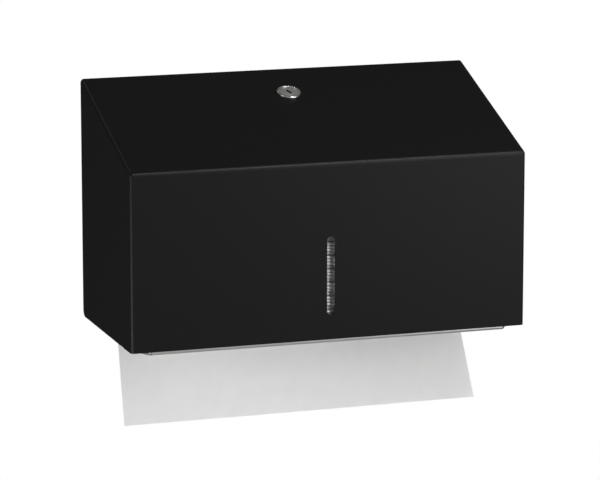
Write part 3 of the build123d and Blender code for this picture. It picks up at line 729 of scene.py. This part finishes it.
bpy.ops.object.select_all(action="DESELECT")
bpy.ops.mesh.primitive_cylinder_add(
    vertices=96, radius=plug_face_radius, depth=plug_face_height,
    location=(0, 0, plug_face_top - plug_face_height / 2))
plug = bpy.context.object
plug.name = "lock_plug_satin"
place_in_mesh()
bpy.ops.object.mode_set(mode="EDIT")
only(lambda middle, along: middle.z > plug_face_top - hair, "EDGE")
bpy.ops.mesh.bevel(offset=plug_round, segments=3, affect="EDGES")
press(lambda middle, facing: facing.z < -square_on, plug_face_radius - plug_radius)
sink(plug_face_top - plug_face_height + body_length)
bpy.ops.object.mode_set(mode="OBJECT")
tail_length = plug_end - body_length + tail_root
tail = block((plug_square, plug_square, tail_length), (0, 0, tail_length / 2 - plug_end))
take_up(plug)
finish_with("BOOLEAN", operation="UNION", solver="EXACT", object=tail)
bpy.data.objects.remove(tail)
cut_away(plug, block((key_slot.x, key_slot.y, 2 * key_slot.z), (0, 0, plug_face_top), key_slot_turn))
bpy.ops.object.select_all(action="DESELECT")
bpy.ops.mesh.primitive_cylinder_add(
    vertices=32, radius=cam_screw_bore, depth=2 * cam_screw_depth, location=(0, 0, -plug_end))
screw_bore = bpy.context.object
place_in_mesh()
cut_away(plug, screw_bore)
seat_in_slope(plug)

turning = 0.22 * mm
key_scratch = 0.9 * mm
satin_nickel, tree = new_tree("brass_plug_nickel_plated_satin")
place = add(tree, "ShaderNodeTexCoord").outputs["Object"]
on_axis = add(tree, "ShaderNodeVectorMath", {"operation": "SUBTRACT", 1: lock_seat}, {0: place})
upright = add(tree, "ShaderNodeVectorRotate", {
    "rotation_type": "X_AXIS", "Angle": -lock_up}, {"Vector": on_axis.outputs[0]})
flattened = add(tree, "ShaderNodeVectorMath", {"operation": "MULTIPLY", 1: (1, 1, 0)},
                {0: upright.outputs[0]})
from_axis = add(tree, "ShaderNodeVectorMath", {"operation": "LENGTH"}, {0: flattened.outputs[0]})
ring_phase = add(tree, "ShaderNodeMath", {"operation": "MULTIPLY", 1: 2 * math.pi / turning},
                 {0: from_axis.outputs["Value"]})
ring_height = add(tree, "ShaderNodeMath", {"operation": "SINE"}, {0: ring_phase.outputs[0]})
key_marks = add(tree, "ShaderNodeTexNoise", {"Scale": 1 / key_scratch, "Detail": 4.0},
                {"Vector": place})
# Inside the key slot the walls are darkened to nearly black, from just under the face down.
darkening_top = plug_face_top - 0.05 * mm
darkening_full = plug_face_top - 0.5 * mm
darkening_reach = 3.2 * mm
depth = add(tree, "ShaderNodeSeparateXYZ", links={0: upright.outputs[0]}).outputs["Z"]
sunk = add(tree, "ShaderNodeMapRange", {"From Min": darkening_top, "From Max": darkening_full},
           {"Value": depth})
in_slot = add(tree, "ShaderNodeMath", {"operation": "LESS_THAN", 1: darkening_reach}, {
    0: from_axis.outputs["Value"]})
slot_darkening = add(tree, "ShaderNodeMath", {"operation": "MULTIPLY"}, {
    0: sunk.outputs["Result"], 1: in_slot.outputs[0]})
clean = add(tree, "ShaderNodeMix", {
    "data_type": "RGBA", 6: linear("#c6c5c3"), 7: linear("#d8d7d5")}, {0: key_marks.outputs["Fac"]})
plug_colour = add(tree, "ShaderNodeMix", {"data_type": "RGBA", 7: linear("#1c1b1a")}, {
    0: slot_darkening.outputs[0], 6: clean.outputs[2]})
plug_roughness = add(tree, "ShaderNodeMapRange", {"To Min": 0.38, "To Max": 0.52},
                     {"Value": key_marks.outputs["Fac"]})
turning_bump = add(tree, "ShaderNodeBump", {"Strength": 1.0, "Distance": 0.006 * mm},
                   {"Height": ring_height.outputs[0]})
shader = add(tree, "ShaderNodeBsdfPrincipled", {"Metallic": 1.0}, {
    "Base Color": plug_colour.outputs[2],
    "Roughness": plug_roughness.outputs["Result"],
    "Normal": turning_bump.outputs[0],
})
add(tree, "ShaderNodeOutputMaterial", links={"Surface": shader.outputs[0]})
plug.data.materials.clear()
plug.data.materials.append(satin_nickel)
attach(plug, "lock")
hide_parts("lock_plug")


# ---------------------------------------------------------------- lock's nut, washers, cam and screw
# What holds the lock from inside is zinc-plated steel: a toothed washer, a hexagon nut, and the
# cam between its stop washer and a plain washer, all on the plug's square, with one screw.
for name in ("lock_washer", "lock_nut", "lock_stop_washer", "lock_cam", "cam_washer", "cam_screw"):
    coat_node(name, bright_zinc)


# ---------------------------------------------------------------- towel pack
# Sixty-four creped paper towels, each folded once. The folds face the front and the back by
# turns, and each leaf is held between the two leaves of the next towel.
pack_low, pack_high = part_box("towel_stack")
drawn_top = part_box("hanging_towel")[1].z
towel_width = 250 * mm
paper_thickness = 0.3 * mm
front_folds = 32
leaves_to_a_fold = 4        # two of the front towel and two of the back one that follows it
folds_in_bundle = 4
bundle_gap = 0.6 * mm
pack_foot = 0.5 * mm
pack_slack = 2.0 * mm
bundle_gaps = front_folds // folds_in_bundle
leaf_pitch = ((pack_high.z - pack_low.z - pack_slack - bundle_gaps * bundle_gap)
              / (leaves_to_a_fold * front_folds))
fold_radius = 1.5 * leaf_pitch
fold_steps = 6
leaf_stations = 6
towel_columns = 14
back_edge_gap = 0.5 * mm
front_edge_gap = 1.5 * mm
way_y = -42.0 * mm
way_half = 0.8 * mm
way_headroom = 1.5 * mm
way_top = drawn_top + way_headroom
front_bulge = 1.2 * mm
bulge_fade = 6              # the bulge fades out over the top sixth of the pack
tuck = 0.6 * mm
# Each towel lies off its place by up to this many millimetres.
side_scatter = 0.5
depth_scatter = 0.12
paper_random = random.Random(7)


def folded_towel(fold_y, edge_y):
    """One towel folded in half, at the middle of the pack: its fold is at fold_y."""
    inward = 1 if edge_y > fold_y else -1
    middle_y = fold_y + inward * fold_radius
    leaf = abs(edge_y - middle_y)
    bpy.ops.object.select_all(action="DESELECT")
    bpy.ops.mesh.primitive_grid_add(
        x_subdivisions=towel_columns, y_subdivisions=leaf_stations, size=1,
        location=(0, middle_y + inward * leaf / 2, -fold_radius))
    towel = bpy.context.object
    towel.scale = (towel_width, leaf, 1)
    place_in_mesh()
    bpy.ops.object.mode_set(mode="EDIT")
    only(lambda middle, along: abs(middle.y - middle_y) < hair, "EDGE")
    bpy.ops.mesh.spin(
        steps=fold_steps, angle=math.pi, center=(0, middle_y, 0), axis=(inward, 0, 0))
    for station in range(leaf_stations):
        bpy.ops.mesh.extrude_edges_move(
            TRANSFORM_OT_translate={"value": (0, inward * leaf / leaf_stations, 0)})
    bpy.ops.object.mode_set(mode="OBJECT")
    return towel


# Below the top of the drawn towel, the leaves stop at the way that it is drawn through.
kinds = {
    "front": folded_towel(pack_low.y, pack_high.y - back_edge_gap),
    "front_at_way": folded_towel(pack_low.y, way_y - way_half),
    "back": folded_towel(pack_high.y, pack_low.y + front_edge_gap),
    "back_at_way": folded_towel(pack_high.y, way_y + way_half),
}
sheets = []
for fold in range(front_folds):
    foot = (pack_low.z + pack_foot + leaves_to_a_fold * leaf_pitch * fold
            + bundle_gap * ((fold + folds_in_bundle - 1) // folds_in_bundle))
    height_share = (foot - pack_low.z) / (pack_high.z - pack_low.z)
    bulge = front_bulge * min(1.0, bulge_fade * (1 - height_share))
    tucked = tuck if fold % folds_in_bundle == 1 else 0.0
    # A front towel's middle is 1.5 leaves above the foot, and the back one's is 2 leaves higher.
    for side, rise in (("front", 1.5), ("back", 3.5)):
        middle_z = foot + rise * leaf_pitch
        kind = side + ("_at_way" if middle_z - fold_radius < way_top else "")
        towel = kinds[kind].copy()
        towel.data = kinds[kind].data.copy()
        bpy.context.scene.collection.objects.link(towel)
        out = bulge - tucked if side == "front" else 0.0
        towel.location = (
            paper_random.uniform(-side_scatter, side_scatter) * mm,
            -out + paper_random.uniform(-depth_scatter, depth_scatter) * mm,
            middle_z)
        sheets.append(towel)
for kind in kinds.values():
    bpy.data.objects.remove(kind)
bpy.ops.object.select_all(action="DESELECT")
for towel in sheets:
    towel.select_set(True)
bpy.context.view_layer.objects.active = sheets[0]
bpy.ops.object.join()
pack = bpy.context.object
pack.name = "towel_pack"
place_in_mesh()
finish_with("SOLIDIFY", thickness=paper_thickness, offset=0.0)
bpy.ops.object.shade_smooth_by_angle(angle=math.radians(40))

creped_paper, tree = new_tree("tissue_paper_creped_two_ply")
place = add(tree, "ShaderNodeTexCoord").outputs["Object"]
# Creping leaves fine ridges across the web, 0.6 mm apart and broken every few millimetres.
crepe_ridge = 0.6 * mm
crepe_run = 5 * mm
ridges = add(tree, "ShaderNodeMapping", {
    "Scale": (1 / crepe_run, 1 / crepe_ridge, 1 / crepe_ridge)}, {"Vector": place})
crepe = add(tree, "ShaderNodeTexNoise", {"Scale": 1.0, "Detail": 3.0, "Roughness": 0.6},
            {"Vector": ridges.outputs[0]})
# The sheet's formation is a little cloudy, as pulp is.
pulp_cloud = 12 * mm
formation = add(tree, "ShaderNodeTexNoise", {"Scale": 1 / pulp_cloud, "Detail": 3.0},
                {"Vector": place})
paper_white = add(tree, "ShaderNodeMix", {
    "data_type": "RGBA", 6: linear("#ededed"), 7: linear("#f5f5f5")}, {0: formation.outputs["Fac"]})
paper_roughness = add(tree, "ShaderNodeMapRange", {"To Min": 0.85, "To Max": 0.97},
                      {"Value": crepe.outputs["Fac"]})
crepe_bump = add(tree, "ShaderNodeBump", {"Strength": 1.0, "Distance": 0.05 * mm},
                 {"Height": crepe.outputs["Fac"]})
shader = add(tree, "ShaderNodeBsdfPrincipled", {
    "IOR": 1.45, "Specular IOR Level": 0.2, "Sheen Weight": 0.15, "Sheen Roughness": 0.6}, {
    "Base Color": paper_white.outputs[2],
    "Roughness": paper_roughness.outputs["Result"],
    "Normal": crepe_bump.outputs[0],
})
add(tree, "ShaderNodeOutputMaterial", links={"Surface": shader.outputs[0]})
pack.data.materials.append(creped_paper)
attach(pack, "root")
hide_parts("towel_stack")


# ---------------------------------------------------------------- drawn towel
# The lowest towel, with one leaf pulled through the slot in the tray. It hangs a little forward,
# more at its right end, because the fold in the pack still pulls on it.
drawn_shift = -2.6 * mm
mouth_z = -87.5 * mm
turn_share = 0.35
turn_back = 1.6 * mm
left_tip = Vector((0, -57.6 * mm, -152.0 * mm))
right_tip = Vector((0, -78.5 * mm, -145.6 * mm))
hidden_rows = 6
hanging_rows = 26
columns = 50
bpy.ops.object.select_all(action="DESELECT")
bpy.ops.mesh.primitive_grid_add(
    x_subdivisions=columns, y_subdivisions=hidden_rows + hanging_rows, size=1,
    rotation=(math.pi / 2, 0, 0))
drawn = bpy.context.object
drawn.name = "drawn_towel"
drawn.scale = (towel_width, 1, 1)
place_in_mesh()


def hang(across, down):
    """The towel's line below the tray: across and down run from 0 to 1."""
    top = Vector((0, way_y, mouth_z))
    tip = left_tip.lerp(right_tip, across)
    turn = top.lerp(tip, turn_share) + Vector((0, turn_back, 0))
    first = top.lerp(turn, down)
    second = turn.lerp(tip, down)
    return first.lerp(second, down)


for vertex in drawn.data.vertices:
    across = vertex.co.x / towel_width + 0.5
    row = (0.5 - vertex.co.z) * (hidden_rows + hanging_rows)
    if row <= hidden_rows:
        share = row / hidden_rows
        spot = Vector((0, way_y, drawn_top + (mouth_z - drawn_top) * share))
    else:
        spot = hang(across, (row - hidden_rows) / hanging_rows)
    vertex.co.y, vertex.co.z = spot.y, spot.z
    vertex.co.x += drawn_shift
finish_with("SOLIDIFY", thickness=paper_thickness, offset=0.0)
bpy.ops.object.shade_smooth_by_angle(angle=math.radians(40))
drawn.data.materials.append(creped_paper)
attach(drawn, "towel")
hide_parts("hanging_towel")
